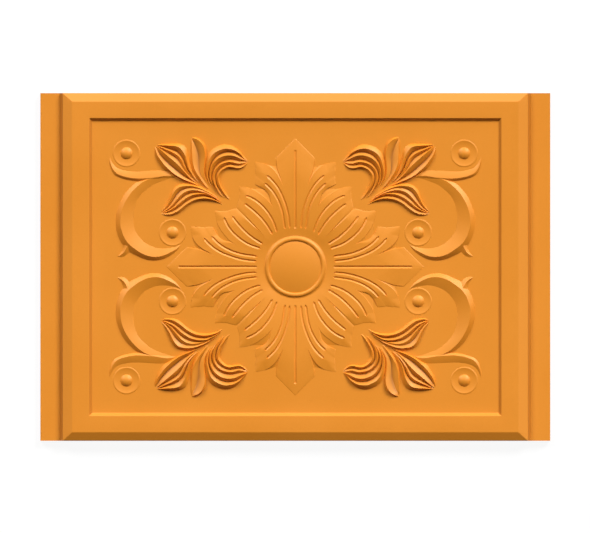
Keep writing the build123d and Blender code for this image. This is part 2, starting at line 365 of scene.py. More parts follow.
def beside(path, offset):
    """A path moved sideways by an offset, to the right of its run."""
    along = np.gradient(path, axis=0)
    along = along / np.hypot(along[:, 0], along[:, 1])[:, None]
    return path + np.stack([along[:, 1], -along[:, 0]], axis=1) * offset


def share_at(path, spot):
    """The share of a petal line that lies nearest to a spot."""
    return PETAL_SHARES[np.argmin(distance(path, np.array(spot)))]


def between(first, last, soft):
    """One between two shares of a petal line and nought outside, with a ramp inside either end that is soft
    long."""
    rise = np.clip((PETAL_SHARES - first) / soft, 0, 1)
    fall = np.clip((last - PETAL_SHARES) / soft, 0, 1)
    return np.minimum(rise, fall)


def groove(path, first_spot, last_spot):
    """Three lines of a V groove between two spots of a path: its bottom between two sides that draw
    together at the groove's ends."""
    first, last = share_at(path, first_spot), share_at(path, last_spot)
    half = GROOVE_HALF * np.clip(between(first, last, GROOVE_CLOSING), GROOVE_LEAST, 1)[:, None]
    bottom = GROOVE_DEPTH * between(first, last, GROOVE_RUN_OUT)
    return [(beside(path, -half), NO_DEPTH), (path, bottom), (beside(path, half), NO_DEPTH)]


def gap(left, right, opening):
    """Five lines of the gap between two petals: their edges, and a floor that drops from the share opening
    on, behind a lip at either edge."""
    drop = GAP_DROP * between(opening, PAST_END, GAP_RUN_IN)
    room = distance(right, left)[:, None]
    lip = np.minimum(GAP_LIP, GAP_LIP_SHARE * room) * (right - left) / np.maximum(room, TINY)
    floor = [(left + lip, drop), ((left + right) / 2, drop), (right - lip, drop)]
    return [(left, NO_DEPTH), *floor, (right, NO_DEPTH)]


def filled(values):
    """The lines' values with cells between neighbouring lines, by straight shares of the way across."""
    share = (np.arange(PETAL_CELLS) / PETAL_CELLS).reshape((-1,) + (1,) * (values.ndim - 2))
    steps = (values[:, 1:] - values[:, :-1])[:, :, None]
    cells = values[:, :-1, None] + steps * share
    return np.concatenate([cells.reshape((len(values), -1) + values.shape[2:]), values[:, -1:]], axis=1)


def rosette_shell():
    """The rosette, laid out in one eighth from the upright axis to the diagonal and mirrored round the
    middle. Lines run from the pit to the outer ends of the petals, along grooves and petal edges, and cells
    fill the room between neighbouring lines. The height is the crown less the depth of a groove or of a gap
    between petals, with a thin bevel along the outer ends. A petal tilts down to its end and to the gaps
    beside it, once they have opened."""
    spear = petal_line((0, 41), (0, 100), (0, 166.5))
    spear_edge = petal_line(
        (3.4, 40.9), (5.2, 60), (9.5, 85), (15.5, 105), (18.5, 114), (22.5, 125.5), (25, 141.5))
    high_edge = petal_line(
        (3.9, 40.8), (5.9, 60), (10.4, 85), (16.7, 105), (20, 113.5), (28, 125.5), (37.5, 132.5), (53, 135.5))
    high_outer = petal_line(
        (5.8, 40.7), (7.2, 49.5), (8.5, 63), (14, 84.5), (23.5, 104), (37.5, 118.5), (52.2, 127.5))
    high_inner = petal_line(
        (10.4, 39.7), (13, 48.5), (16, 67.5), (22.5, 87), (30.5, 99.5), (40, 108.5), (51.3, 117))
    high_end = petal_line(
        (14.5, 38.4), (19.2, 55), (26, 72), (31.2, 83.5), (33.6, 93), (38, 99), (52.5, 107))
    low_edge = petal_line(
        (15.3, 38), (20.2, 55), (27.2, 72), (33, 83), (45.5, 94.5), (58.5, 101.5), (73.5, 104))
    low_outer = petal_line(
        (19.8, 36), (23.5, 44.5), (28, 57.5), (40, 76), (52, 86.5), (64.5, 92.5), (72.4, 95.5))
    low_inner = petal_line((24, 33.3), (29.5, 42), (36.5, 53.5), (51, 70), (66, 82), (73.2, 87))
    low_end = petal_line((27.3, 30.6), (37, 37.5), (53, 54.5), (75.5, 78.5))
    diagonal = petal_line((29, 29), (52, 52), (77.8, 77.8))

    spear_start, spear_stop = share_at(spear, (0, 49.5)), share_at(spear, (0, 152))
    spear_bottom = GROOVE_DEPTH * between(spear_start, spear_stop, GROOVE_RUN_OUT)
    closing = np.minimum(1, (1 - PETAL_SHARES) * SPEAR_CLOSING_PACE + SPEAR_LEAST)
    spear_half = [(spear, spear_bottom), (spear + [GROOVE_HALF, 0] * closing[:, None], NO_DEPTH)]
    high_petal = groove(high_outer, (7.2, 49.5), (37.5, 118.5)) + groove(high_inner, (13, 48.5), (40, 108.5))
    low_petal = groove(low_outer, (23.5, 44.5), (64.5, 92.5)) + groove(low_inner, (29.5, 42), (66, 82))
    diagonal_drop = DIAGONAL_DEPTH * between(share_at(diagonal, (38, 38)), PAST_END, DIAGONAL_RUN_IN)
    low_half = [(low_end, NO_DEPTH), (diagonal, diagonal_drop)]
    spear_opening, low_opening = share_at(high_edge, (20, 113.5)), share_at(low_edge, (33, 83))
    spear_gap = gap(spear_edge, high_edge, spear_opening)
    low_gap = gap(high_end, low_edge, low_opening)
    spear_gap_at = len(spear_half)
    low_gap_at = spear_gap_at + len(spear_gap) + len(high_petal)
    gaps = [(spear_gap_at, spear_gap, spear_opening), (low_gap_at, low_gap, low_opening)]

    lines = spear_half + spear_gap + high_petal + low_gap + low_petal + low_half
    plan = filled(np.stack([path for path, _ in lines], axis=1))
    depth = filled(np.stack([deep for _, deep in lines], axis=1))

    steps = distance(plan[1:], plan[:-1])
    to_end = np.concatenate([np.cumsum(steps[::-1], axis=0)[::-1], np.zeros((1, plan.shape[1]))])
    tilt_length = np.interp(turn_from_axis(plan), TILT_TURNS, TILT_LENGTHS)
    tilt = to_end / tilt_length
    columns = np.arange(plan.shape[1])
    for gap_at, gap_lines, opening in gaps:
        left, right = gap_lines[0][0], gap_lines[-1][0]
        first, last = gap_at * PETAL_CELLS, (gap_at + len(gap_lines) - 1) * PETAL_CELLS
        opened = np.clip((PETAL_SHARES - opening) / (1 - opening) / OPENING_SHARE, 0, 1)
        near = NEAR_TILT_START + NEAR_TILT_PACE * distance(plan, left[:, None])
        far = distance(plan, right[:, None])
        from_gap = np.where(columns <= first, near, np.where(columns >= last, far, 0))
        tilt = np.minimum(tilt, from_gap / tilt_length + 1 - opened[:, None])
    bevel = END_HEIGHT * np.clip(to_end / END_RUN, 0, 1) - END_SINK
    height = FIELD + crown(plan, tilt) + bevel - depth

    eighth = np.concatenate([plan, height[..., None]], axis=2)
    quarter = np.concatenate([eighth, eighth[:, -2::-1, [1, 0, 2]]], axis=1)
    back = quarter[:, ::-1]
    right_below, left_below, left_above = back * [1, -1, 1], quarter * [-1, -1, 1], back * [-1, 1, 1]
    ring = np.concatenate([quarter, right_below[:, 1:], left_below[:, 1:], left_above[:, 1:-1]], axis=1)
    return closed_ring(ring, ROSETTE_UNDER)


# Turned forms

def turned_shell(profile, centre, under, sides):
    """A profile of radius and height, from the axis outwards, turned round an upright axis and closed by a
    flat disc at the height under. All its cells are triangles, and those at the two poles meet in one point
    each."""
    profile = np.asarray(profile, float)
    rings = np.concatenate([profile[1:], [[profile[-1, 0], under]]])
    angle = np.linspace(0, 2 * math.pi, sides, endpoint=False)
    x = centre[0] + rings[:, :1] * np.cos(angle)
    y = centre[1] + rings[:, :1] * np.sin(angle)
    z = np.repeat(rings[:, 1:], sides, axis=1)
    poles = [[*centre, profile[0, 1]], [*centre, under]]
    points = np.concatenate([np.stack([x, y, z], axis=2).reshape(-1, 3), poles])
    quads = grid_quads(len(rings), sides, wrap=True)[:, ::-1]
    first = np.arange(sides)
    last = first + (len(rings) - 1) * sides
    top_fan = np.stack([np.full(sides, len(points) - 2), first, np.roll(first, -1)], axis=1)
    bottom_fan = np.stack([np.full(sides, len(points) - 1), np.roll(last, -1), last], axis=1)
    return points, np.concatenate([quads[:, [0, 1, 2]], quads[:, [0, 2, 3]], top_fan, bottom_fan])


def cap_profile(radius, foot_level, rise, count):
    """The upper arc of a ball: points from the top out to a radius, rise above the foot."""
    ball = (radius**2 + rise**2) / (2 * rise)
    angle = np.linspace(0, math.asin(radius / ball), count)
    return np.stack([ball * np.sin(angle), foot_level + rise - ball * (1 - np.cos(angle))], axis=1)


def bead_profile(middle, half, foot_level, rise, count):
    """The upper part of half an ellipse over the foot, from its inner side to its outer side."""
    angle = np.linspace(0.1, 0.9, count) * math.pi
    return np.stack([middle - half * np.cos(angle), foot_level + rise * np.sin(angle)], axis=1)


def heart_shell():
    """The domed heart: a cap, a bead round it, and the pit's floor running under the petals."""
    dome_radius, dome_rise = 33.4, 3.2
    bead_radius, bead_half, bead_rise, bead_sink = 36.3, 2.7, 1.75, 0.2
    pit_floor = FIELD - PIT_DEPTH
    dome = cap_profile(dome_radius, pit_floor, dome_rise, count=16)
    bead = bead_profile(bead_radius, bead_half, pit_floor - bead_sink, bead_rise, count=13)
    skirt = [[40.2, pit_floor - 0.15], [46.5, pit_floor - 0.6]]
    return turned_shell(np.concatenate([dome, bead, skirt]), (0.0, 0.0), ROSETTE_UNDER, sides=144)


def disc_shell(centre):
    """A dished disc: a pearl, the dish falling towards it, and a low rounded rim, whose points are given by
    radius and height over the field."""
    pearl_radius, pearl_rise, pearl_sink, disc_root = 7.8, 2.75, 0.6, 3.2
    pearl = cap_profile(pearl_radius, FIELD - pearl_sink, pearl_rise, count=12)
    dish = [[8.2, -0.62], [11.5, -0.3], [14.6, 0.02]]
    rim = [[15.4, 0.2], [16.0, 0.34], [16.5, 0.38], [17.0, 0.32], [17.9, 0], [18.6, -0.4]]
    profile = np.concatenate([pearl, np.add(dish + rim, [0, FIELD])])
    return turned_shell(profile, centre, FIELD - disc_root, sides=72)


# Carved forms: scrolls and acanthus lobes

FOOT_SINK, CARVED_ROOT = 0.35, 1.5
# A valley gets painted shade where its ribs stand more than the first height over it, fully so at the second
PAINTED_SHADE_FROM, PAINTED_SHADE_FULL = 1.0, 3.0


def foot(points):
    """A line where a form meets the sheet, a little below the field."""
    return points, [(0, -FOOT_SINK), (1, -FOOT_SINK)], 0


def rib(points, heights, bulge):
    """A crest with its heights over the field at shares of its length, and the roundness of its sides."""
    return points, heights, bulge


def valley(points, heights):
    """The line between two ribs, with its heights over the field at shares of its length."""
    return points, heights, 0


def swell(top, tip=0.22, root=0.75, end=-0.3):
    """Heights along a rib or valley: up from the tip, level along the middle, and down into the sheet at
    the root."""
    rising = [(0, -0.25), (tip * 0.5, top * 0.62), (tip, top * 0.92)]
    return rising + [((tip + root) / 2, top), (root, top * 0.8), (1, end)]


def carved_shell(lines, rows, cells=6):
    """A carved form between lines that all run the same way: feet, ribs and valleys. Each line has its
    points seen from above, and heights over the field at shares of its length. Between two lines the plan
    is straight, and the height climbs from the lower line to the higher one by u + bulge u (1 - u), where u
    is the share of the way up and bulge is the higher line's roundness. The fourth value of a point is the
    painted shade in the valleys between ribs: the cube of 1 - u beside a valley, less where the valley is
    shallow."""
    share = np.linspace(0, 1, rows)
    paths = np.stack([course(points, share) for points, _, _ in lines], axis=1)
    heights = np.stack([cubic(*zip(*tops), share) for _, tops, _ in lines], axis=1)
    bulges = np.array([bulge for _, _, bulge in lines])
    u = np.arange(cells) / cells
    plan = paths[:, :-1, None] + (paths[:, 1:] - paths[:, :-1])[:, :, None] * u[:, None]
    near, far = heights[:, :-1, None], heights[:, 1:, None]
    climbing = np.where(far >= near, u, 1 - u)
    bulge = np.where(far >= near, bulges[None, 1:, None], bulges[None, :-1, None])
    eased = climbing + bulge * climbing * (1 - climbing)
    rise = np.abs(far - near)
    height = np.minimum(near, far) + rise * eased
    span = np.arange(len(lines) - 1)[None, :, None]
    lower_line = np.where(far >= near, span, span + 1)
    in_valley = (lower_line > 0) & (lower_line < len(lines) - 1)
    # Painted shade down the sides of deep valleys between ribs, where shade falls
    darkness = np.clip((rise - PAINTED_SHADE_FROM) / (PAINTED_SHADE_FULL - PAINTED_SHADE_FROM), 0, 1)
    painted_shade = in_valley * (1 - climbing) ** 3 * darkness
    plan = np.concatenate([plan.reshape(rows, -1, 2), paths[:, -1:]], axis=1)
    height = np.concatenate([height.reshape(rows, -1), heights[:, -1:]], axis=1)
    painted_shade = np.concatenate([painted_shade.reshape(rows, -1), np.zeros((rows, 1))], axis=1)
    top = np.concatenate([plan, FIELD + height[..., None], painted_shade[..., None]], axis=2)
    return closed_patch(top, FIELD - CARVED_ROOT)


def scroll():
    """The scroll: a crest that curls in to a tip, with a steep outer slope and a broad inner one."""
    return carved_shell([
        foot([(118.6, 89.8), (124, 92), (131.5, 92.5), (140, 91.4), (146.5, 89.6), (153, 87),
              (159.7, 84.3), (164.7, 80.1), (169.7, 74.7), (174.7, 66.3), (178, 58), (179.7, 50.5),
              (179.8, 44.7), (179.3, 38), (177.6, 31.3), (174.7, 24.7), (170.5, 18.9), (165.5, 14.3),
              (158.8, 10.9), (151.3, 7.6), (141.3, 5.9), (132.2, 7.2), (124.7, 10.9), (118, 16.3),
              (112.9, 23.2)]),
        rib([(118.3, 89.2), (123.8, 90.6), (131.3, 90.6), (139.7, 89.4), (145.5, 88), (151.3, 85.5),
             (158, 80.5), (163, 75.5), (167.2, 69.7), (171.3, 62.2), (173.8, 54.7), (174.7, 48),
             (174.7, 41.3), (173, 34.7), (170.5, 28.8), (166.3, 23), (161.3, 18.8), (154.7, 14.3),
             (148, 11.3), (139.7, 10.1), (132.2, 11.3), (124.7, 14.7), (118.8, 18), (113, 23.6)],
            [(0, -0.2), (0.09, 1.2), (0.2, 2.3), (0.32, 3.6), (0.45, 4.3), (0.56, 4.4), (0.7, 4.1),
             (0.82, 3.2), (0.92, 2.0), (1, -0.2)], bulge=0.1),
        foot([(118, 88.2), (124.7, 87.2), (133, 84.7), (139.7, 82.2), (144.7, 79.3), (149.7, 75.5),
              (154.7, 70.5), (158, 64.7), (159.7, 58.8), (160.9, 50), (160.5, 43), (159.3, 37.2),
              (156.3, 32.2), (153, 28), (148.8, 24.3), (143.8, 21.8), (137.2, 19.7), (129.7, 19.3),
              (123, 20.1), (117.2, 21.8), (113.2, 24)]),
    ], rows=170, cells=8)


def tail():
    """The scroll's tail: a low crest that runs out from the leaf and hooks up round the corner disc."""
    return carved_shell([
        foot([(185.2, 111.7), (184.5, 108.5), (183, 105.5), (179.7, 100.9), (174.7, 98.4), (168, 96.8),
              (159.7, 96.3), (149.7, 96.8), (141.3, 97.2), (133, 97.3), (126, 95.3), (121.5, 92.6),
              (118, 90)]),
        rib([(185.4, 111.5), (184.7, 103.8), (182.2, 98), (178.8, 93.8), (173.8, 91.3), (166.3, 89.3),
             (158, 88.4), (149.7, 88.7), (144.7, 89), (139.7, 89.5), (131.3, 90.9), (123.8, 90.9),
             (117.8, 89.5)],
            [(0, -0.2), (0.08, 1.0), (0.2, 1.8), (0.32, 2.2), (0.5, 2.3), (0.7, 2.2), (0.85, 1.8),
             (1, -0.2)], bulge=0.25),
        foot([(185.6, 111.5), (186.3, 107), (185.9, 103), (184.3, 97.2), (181.3, 92.2), (176.3, 89.3),
              (169.7, 87.2), (163, 85.9), (158, 85.4), (152, 85), (145, 85.2), (138, 86.4), (130, 87.6),
              (124, 88.2), (117.6, 89)]),
    ], rows=120, cells=7)


def spur():
    """The spur on the scroll's outer side."""
    return carved_shell([
        foot([(173.6, 25.5), (172.7, 20.5), (174, 15.4), (178.3, 10.5)]),
        rib([(166.5, 23.5), (168, 20.5), (170.1, 16.3), (173.8, 12.6), (178.5, 10.2)],
            [(0, 2.9), (0.35, 2.6), (0.7, 1.5), (1, -0.2)], bulge=0),
        foot([(161.5, 18), (165.5, 14.3), (169.7, 10.5), (174.7, 9), (178.3, 9.9)]),
    ], rows=40, cells=6)


def curled_lobe():
    """The leaf lobe that curls towards the rosette: four ribs and the valleys between them."""
    return carved_shell([
        foot([(46.7, 105.6), (49.5, 109.1), (53, 113.1), (57, 117.3), (61, 120.4), (65, 122), (70, 122.8),
              (75, 122), (80, 120), (85, 116), (88, 111.5), (89.5, 106.5), (90, 100.5), (90, 94.5),
              (89, 89), (86.8, 83.5), (83.5, 78.5)]),
        rib([(46.8, 105.4), (48.8, 106.5), (52.7, 110.2), (55.6, 113.4), (58.1, 115.2), (61.6, 117),
             (65.2, 117.9), (68.8, 118.3), (73.1, 117.7), (76.6, 116.3), (79.9, 114.5), (82.7, 112),
             (84.9, 108.8), (86.3, 105.2), (87.4, 100.9), (88.3, 96.6), (88.4, 93.1), (87.6, 88.1),
             (85.6, 83), (82.3, 78.1)], swell(4.5), bulge=0.3),
        valley([(46.9, 105.3), (50.5, 107.9), (55, 111), (60, 113.8), (65, 114.8), (70, 114.5),
                (75, 112.9), (80, 109.3), (84, 103.5), (86, 97.5), (86.5, 92.5), (85.8, 87), (83.8, 82.1),
                (80.9, 77.5)], swell(0.4, end=-0.4)),
        rib([(47, 105.2), (50.6, 106.6), (54.5, 108.1), (59.9, 110.6), (65.6, 111.6), (71.6, 110.7),
             (75.6, 109.1), (78.4, 107.2), (80.9, 104.7), (83.1, 101.3), (84.5, 98.1), (85.2, 94.9),
             (85, 89.5), (83.6, 84.7), (81.2, 80), (78.5, 76.3)], swell(4.4), bulge=0.1),
        valley([(47, 105), (52, 105.7), (56, 105.9), (60, 106.8), (65, 107.3), (70, 106.5), (75, 104.3),
                (80, 100), (83, 94.5), (83.8, 89.5), (82.6, 83.9), (80, 78.7), (77, 74.1), (74, 70.5)],
               swell(-0.1, end=-0.4)),
        rib([(47, 104.8), (49.6, 104.4), (54.5, 103.4), (57, 103.4), (62.7, 104.8), (66.5, 104.8),
             (72.4, 103.4), (77.7, 99.7), (79.9, 96.8), (81.3, 93.5), (81.8, 89.5), (80.9, 83.7),
             (78.7, 78.7), (76.4, 74.8), (73.7, 71.1), (70.9, 68.1)], swell(3.3, root=0.85), bulge=0.1),
        valley([(46.9, 104.6), (52, 102.3), (56, 101.5), (60, 101.7), (65, 102.5), (70, 101.3),
                (75, 98.3), (78.3, 94.5), (79.6, 90.5), (79.4, 86.5), (78, 81.5), (75.4, 77),
                (71.8, 72.1), (68, 67.5)], swell(0, end=-0.4)),
        rib([(46.8, 104.4), (49.1, 102.9), (54.1, 99.4), (57, 98.9), (62.7, 99.9), (65.6, 100.2),
             (71.6, 98.1), (74.1, 96.2), (76.3, 93.3), (77.4, 90.2), (77.2, 87), (76.2, 83.2),
             (74.2, 78.7), (71.5, 74.3), (68.2, 69.8), (65, 66.1)], swell(3.3, root=0.85), bulge=0.1),
        foot([(46.6, 104.2), (49, 101.4), (52, 98.9), (58, 97.1), (65, 98.2), (70, 96.4), (73.6, 92.8),
              (75, 89.5), (74.7, 85.5), (73.2, 80.5), (70.4, 75.5), (66.8, 70.8), (63.8, 66.7)]),
    ], rows=120)


def upright_lobe():
    """The leaf lobe that stands up: a trough between a rim and a lower crest."""
    return carved_shell([
        foot([(103.3, 129.9), (100, 129.8), (95, 127.5), (91, 123.5), (89.3, 118.5), (88.8, 113.5),
              (89.2, 108.5), (89.7, 103.5), (90.1, 97.5), (89.7, 92.5), (88.2, 87.5), (85.7, 82.7),
              (82.7, 78.5)]),
        rib([(103.5, 129.7), (102.2, 129.1), (98.8, 127.7), (95.1, 125.2), (92.5, 121.7), (91, 117.5),
             (90.4, 112.5), (90.8, 107.5), (91.3, 102.5), (91.6, 97.5), (91.3, 93.5), (90.3, 89.5),
             (88.4, 86), (86.2, 82.5), (83.8, 78.7)],
            [(0, -0.25), (0.06, 2.4), (0.14, 3.7), (0.24, 4.2), (0.34, 4.0), (0.42, 3.2), (0.52, 2.4),
             (0.65, 2.0), (0.8, 1.6), (1, -0.3)], bulge=0.1),
        valley([(103.7, 129.5), (103, 127), (100.8, 122.8), (99.2, 118.5), (97.6, 113.5), (96.6, 107.8),
                (96.1, 102), (95.7, 97), (94.6, 92), (92.3, 87.8), (89.1, 83.1), (85.2, 78.1)],
               [(0, -0.25), (0.1, 0.2), (0.25, 0.2), (0.4, 0.4), (0.55, 0.7), (0.7, 0.9), (0.85, 0.7),
                (1, -0.4)]),
        rib([(103.9, 129.4), (103.7, 127.5), (103.5, 120.6), (103.1, 113.5), (102.8, 107.8),
             (102.1, 102.8), (100.2, 97.1), (97.5, 92), (93.8, 86.4), (89.2, 80.3), (86.4, 77.1)],
            [(0, -0.25), (0.06, 0.9), (0.16, 1.6), (0.28, 2.3), (0.38, 2.8), (0.47, 3.2), (0.58, 3.6),
             (0.68, 3.6), (0.8, 2.9), (0.92, 1.4), (1, -0.3)], bulge=0.1),
        foot([(104.2, 129.3), (104.7, 126.5), (104.7, 121.5), (104.6, 115.5), (104.7, 110.5),
              (104.7, 105.5), (103.9, 100.5), (102.2, 95.5), (100.1, 91.5), (97.6, 88), (94.6, 84.5),
              (91, 80.3), (88, 76.9)]),
    ], rows=100, cells=8)


def outer_lobe():
    """The leaf lobe that spreads out under the frame: four ribs and the valleys between them."""
    return carved_shell([
        foot([(138.8, 122.3), (134, 122.9), (130, 123.1), (122, 123.5), (115, 123.2), (110.5, 121),
              (108, 117.5), (107, 113.5), (106.3, 109.5), (105.3, 105), (104, 100.5), (102.3, 96),
              (99.8, 91.5), (96.8, 87.5), (93.6, 83.9)]),
        rib([(138.9, 122.1), (136.5, 121.9), (131, 121.5), (125.6, 121.2), (120, 120.7), (115.6, 119.1),
             (112.5, 115.5), (110, 110.9), (108.7, 106.5), (107.6, 102.1), (106, 97.6), (103.8, 93.7),
             (101.1, 89.3), (98.3, 85.9), (95, 82.7)], swell(4.5), bulge=0.3),
        valley([(139, 121.8), (134, 120.7), (128, 118.8), (122, 116.7), (117.5, 114.5), (114, 111),
                (111.3, 106.8), (109.6, 102.5), (107, 96.3), (103.2, 91), (99.8, 87), (95.8, 82.9)],
               swell(0.1, end=-0.4)),
        rib([(139.1, 121.5), (136.1, 120.4), (131.1, 118.2), (125.6, 115.9), (121.1, 113.7),
             (117.8, 111.5), (115, 108.7), (112.8, 104.8), (111.1, 100.9), (108.9, 97.6), (106.7, 94.3),
             (103.9, 90.9), (100.6, 87.5), (96.6, 83.2)], swell(3.6), bulge=0.1),
        valley([(139.3, 121.2), (136, 119.2), (131, 116.2), (126, 113.3), (121, 110.3), (117.5, 107.3),
                (115, 104), (112.8, 100.3), (109.2, 94.7), (105.4, 90.7), (102, 87.5), (97.3, 83.3)],
               [(0, -0.25), (0.11, 0.2), (0.22, 0.3), (0.45, 0.5), (0.62, 1.7), (0.8, 1.6), (1, -0.4)]),
        rib([(139.5, 121), (137.2, 119.4), (133.9, 116.5), (129.4, 112.6), (125, 108.9), (121.1, 105.7),
             (117.8, 102.6), (115, 99.8), (112.2, 96.5), (109.4, 93.4), (106.7, 90.5), (103.6, 87.7),
             (98, 83.3)], swell(4.6), bulge=0.1),
        valley([(139.8, 120.8), (138.5, 118), (135.5, 113), (131, 107.5), (126, 102.7), (121.5, 98.8),
                (117.5, 95.5), (113.5, 92.5), (109, 89.6), (104.5, 86.7), (98.6, 83)],
               swell(0.2, end=-0.4)),
        rib([(140.1, 120.7), (139.9, 118.9), (138.9, 114.8), (137.2, 110.9), (134.4, 106.7),
             (131.1, 102.3), (127.2, 98.4), (122.8, 94.5), (118.3, 91.2), (113.3, 88.4), (108.9, 86.5),
             (104.4, 84.8), (101.1, 83.4), (97.8, 82.1), (94.4, 80.4)], swell(4.1), bulge=0.15),
        foot([(140.4, 120.8), (140.5, 118.5), (139.8, 112.5), (138, 107.5), (135.5, 103), (132.5, 98.4),
              (128, 95.2), (123, 92.2), (118, 89.5), (112, 86.7), (107, 84.7), (102, 82.7), (97, 80.7),
              (93.6, 79.1)]),
    ], rows=110)


def lower_lobe():
    """The leaf lobe that reaches down beside the scroll: four ribs and the valleys between them."""
    return carved_shell([
        foot([(134.8, 54.7), (132.6, 57.9), (129.5, 62), (127, 66.5), (125.5, 70.5), (123.7, 75.5),
              (121, 79.3), (117, 82.2), (112, 83.5), (106, 83.3), (100, 82), (95, 80.5), (90, 78.1),
              (84, 74.5), (77, 69.5)]),
        rib([(134.8, 54.4), (132, 56.9), (128.9, 60.4), (126.1, 64.8), (123.9, 69.3), (121.7, 73.7),
             (118.9, 77.5), (115.6, 79.8), (112, 80.7), (104.4, 81), (100, 80.2), (93.9, 78), (88, 75.3),
             (82, 71.9), (76, 67.9)], swell(3.4), bulge=0.2),
        valley([(134.8, 54.1), (131, 56.5), (127.5, 59.7), (124, 64.1), (121, 68.7), (118, 72.7),
                (114.5, 75.8), (110, 77.9), (104, 78.7), (97, 77.9), (90, 75.3), (83, 71.7), (75.6, 67.1)],
               [(0, -0.25), (0.11, 0.1), (0.22, 0.2), (0.4, 0.3), (0.55, 1.3), (0.75, 1.5), (1, -0.4)]),
        rib([(134.8, 53.9), (129.4, 56.6), (126.1, 58.9), (122.8, 62.2), (120, 65.5), (117.2, 68.8),
             (114.4, 71.9), (111.7, 74), (108.3, 75.7), (104.4, 76.7), (99, 76.6), (92, 75), (85, 72.1),
             (75.2, 66.4)], swell(3.1), bulge=0.1),
        valley([(134.8, 53.7), (129, 56.2), (125, 58.3), (121, 61.7), (117, 66.1), (113, 69.5),
                (109, 72.1), (104, 73.8), (98, 74.5), (92, 74.1), (85, 71.5), (80, 68.9), (74.6, 65.3)],
               swell(0, end=-0.4)),
        rib([(134.8, 53.5), (131, 54.5), (127.2, 55.9), (122.8, 58.1), (118.9, 60.9), (115.6, 63.8),
             (111.7, 67), (108.3, 69.3), (104.4, 71.2), (100, 72.5), (95, 73.1), (90, 73), (85.6, 71.5),
             (81.1, 69.3), (76.7, 66.5), (72.8, 63.8)], swell(3.3, root=0.85), bulge=0.1),
        valley([(134.8, 53.3), (130, 54), (126, 54.7), (122, 56.3), (118, 58.9), (114, 61.9), (110, 64.9),
                (105, 67.9), (100, 69.9), (94, 70.8), (88, 70.5), (83, 68.9), (78, 66.5), (72.2, 62.9)],
               swell(0, end=-0.4)),
        rib([(134.8, 53.1), (132, 52.6), (128.3, 52.4), (123.3, 53.1), (118.9, 55), (115, 57.6),
             (111.7, 60.3), (107.8, 63.3), (103.9, 65.6), (100, 67.2), (95, 68.3), (90, 68.6), (85, 67.9),
             (80, 66.4), (76.1, 64.5), (71.7, 61.8)], swell(3.3, root=0.85), bulge=0.1),
        foot([(134.7, 52.9), (130, 51.3), (125, 50.9), (120, 51.7), (116, 53.5), (112, 56.5), (108, 59.8),
              (104, 62.6), (99, 64.8), (94, 65.9), (88, 66.1), (82, 65.2), (77, 63.6), (71.6, 60.9)]),
    ], rows=120)


# The finish

ORANGE, LIGHTER_ORANGE = (0.800, 0.257, 0.0070, 1), (0.836, 0.274, 0.0100, 1)
# The dark brown of the painted shade in valleys and on the sheet's steep side walls
PAINTED_SHADE_BROWN = (0.34, 0.095, 0.003, 1)
GLOSS_LEVEL, GLOSS_TINT = 0.95, (1.0, 0.92, 0.66, 1)
ROUGH_LOW, ROUGH_HIGH = 0.53, 0.57
PATCH_SCALE, SPECKLE_SCALE, SPECKLE_SHARE = 9.0, 420.0, 0.5
GRAIN_STRENGTH, GRAIN_HEIGHT = 0.06, 0.0002


def moulded_finish():
    """A satin moulded orange: the colour drifts a little in broad soft patches and in fine speckle, the
    gloss drifts with it, and a very fine grain lifts the surface. Painted shade darkens its colour in the
    hollows between ribs and on the sheet's steep side walls."""
    material = bpy.data.materials.new("satin_orange_moulding")
    material.use_nodes = True
    nodes, links = material.node_tree.nodes, material.node_tree.links
    shader = nodes["Principled BSDF"]
    place = nodes.new("ShaderNodeTexCoord")

    def noise(scale, detail):
        node = nodes.new("ShaderNodeTexNoise")
        node.inputs["Scale"].default_value = scale
        node.inputs["Detail"].default_value = detail
        links.new(place.outputs["Object"], node.inputs["Vector"])
        return node.outputs["Fac"]

    def spread(source, first, last, low, high):
        node = nodes.new("ShaderNodeMapRange")
        node.inputs["From Min"].default_value = first
        node.inputs["From Max"].default_value = last
        node.inputs["To Min"].default_value = low
        node.inputs["To Max"].default_value = high
        links.new(source, node.inputs["Value"])
        return node.outputs["Result"]

    patches = noise(PATCH_SCALE, 3.0)
    speckle = noise(SPECKLE_SCALE, 2.0)
    both = nodes.new("ShaderNodeMath")
    both.operation = "MULTIPLY_ADD"
    links.new(speckle, both.inputs[0])
    both.inputs[1].default_value = SPECKLE_SHARE
    links.new(patches, both.inputs[2])
    colour = nodes.new("ShaderNodeMix")
    colour.data_type = "RGBA"
    colour.inputs["A"].default_value = ORANGE
    colour.inputs["B"].default_value = LIGHTER_ORANGE
    links.new(spread(both.outputs[0], 0.5, 1.0, 0.0, 1.0), colour.inputs["Factor"])
    # Painted shade: the colour is mixed towards dark brown by the painted shade attribute
    painted_shade = nodes.new("ShaderNodeAttribute")
    painted_shade.attribute_name = "painted_shade"
    deep = nodes.new("ShaderNodeMix")
    deep.data_type = "RGBA"
    deep.inputs["B"].default_value = PAINTED_SHADE_BROWN
    links.new(painted_shade.outputs["Fac"], deep.inputs["Factor"])
    links.new(colour.outputs["Result"], deep.inputs["A"])
    links.new(deep.outputs["Result"], shader.inputs["Base Color"])
    links.new(spread(patches, 0.3, 0.7, ROUGH_LOW, ROUGH_HIGH), shader.inputs["Roughness"])
    shader.inputs["Specular IOR Level"].default_value = GLOSS_LEVEL
    shader.inputs["Specular Tint"].default_value = GLOSS_TINT
    grain = nodes.new("ShaderNodeBump")
    grain.inputs["Strength"].default_value = GRAIN_STRENGTH
    grain.inputs["Distance"].default_value = GRAIN_HEIGHT
    links.new(speckle, grain.inputs["Height"])
    links.new(grain.outputs["Normal"], shader.inputs["Normal"])
    return material


